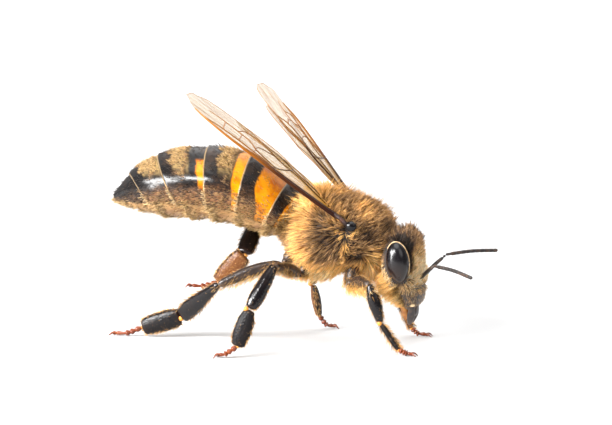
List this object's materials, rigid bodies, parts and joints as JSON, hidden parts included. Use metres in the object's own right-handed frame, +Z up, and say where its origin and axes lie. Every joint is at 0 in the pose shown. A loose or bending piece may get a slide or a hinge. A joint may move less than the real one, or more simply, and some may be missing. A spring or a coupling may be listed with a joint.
{
  "type": "honey bee",
  "caption": "Life-size standing worker honey bee with a furry thorax, banded abdomen, raised see-through wings, elbowed feelers and jointed legs, posed still.",
  "frame": {"origin": "on the floor, under the middle of the bee's bounding box", "axes": "+X forward towards the head, +Y towards the bee's left, +Z up"},
  "size_m": [0.0162, 0.0114, 0.0107],
  "materials": {
    "coat": "soft golden-brown hair over a dark shell",
    "face": "short brown and cream hair over a dark shell",
    "amber": "orange-brown shell with black bands and pale felt",
    "banded": "dark brown shell with pale felt bands",
    "dark": "dark brown shell with short hair",
    "eye": "glossy black",
    "shell": "glossy black-brown shell",
    "foot": "reddish brown shell",
    "tongue": "orange-brown, satin",
    "wing": "thin amber membrane with brown veins"
  },
  "bodies": {
    "root": {"abdomen_1": "amber", "abdomen_2": "amber", "abdomen_3": "banded", "abdomen_4": "banded", "abdomen_5": "banded", "abdomen_6": "banded", "eye_right": "eye", "mandible_right": "shell", "eye_left": "eye", "mandible_left": "shell", "tongue": "tongue", "antenna_right_scape": "dark", "antenna_right_flagellum": "dark", "antenna_left_scape": "dark", "antenna_left_flagellum": "dark", "leg_right_front_coxa": "dark", "leg_right_front_femur": "dark", "leg_right_front_tibia": "shell", "leg_right_front_basitarsus": "shell", "leg_right_front_tarsus": "foot", "leg_right_middle_coxa": "dark", "leg_right_middle_femur": "dark", "leg_right_middle_tibia": "shell", "leg_right_middle_basitarsus": "shell", "leg_right_middle_tarsus": "foot", "leg_right_hind_coxa": "dark", "leg_right_hind_femur": "dark", "leg_right_hind_tibia": "shell", "leg_right_hind_basitarsus": "shell", "leg_right_hind_tarsus": "foot", "leg_left_front_coxa": "dark", "leg_left_front_femur": "dark", "leg_left_front_tibia": "shell", "leg_left_front_basitarsus": "shell", "leg_left_front_tarsus": "foot", "leg_left_middle_coxa": "dark", "leg_left_middle_femur": "dark", "leg_left_middle_tibia": "shell", "leg_left_middle_basitarsus": "shell", "leg_left_middle_tarsus": "foot", "leg_left_hind_coxa": "dark", "leg_left_hind_femur": "dark", "leg_left_hind_tibia": "shell", "leg_left_hind_basitarsus": "shell", "leg_left_hind_tarsus": "foot", "tegula_right": "shell", "forewing_right": "wing", "hindwing_right": "wing", "tegula_left": "shell", "forewing_left": "wing", "hindwing_left": "wing", "thorax": "coat", "head": "face"}
  },
  "joints": []
}
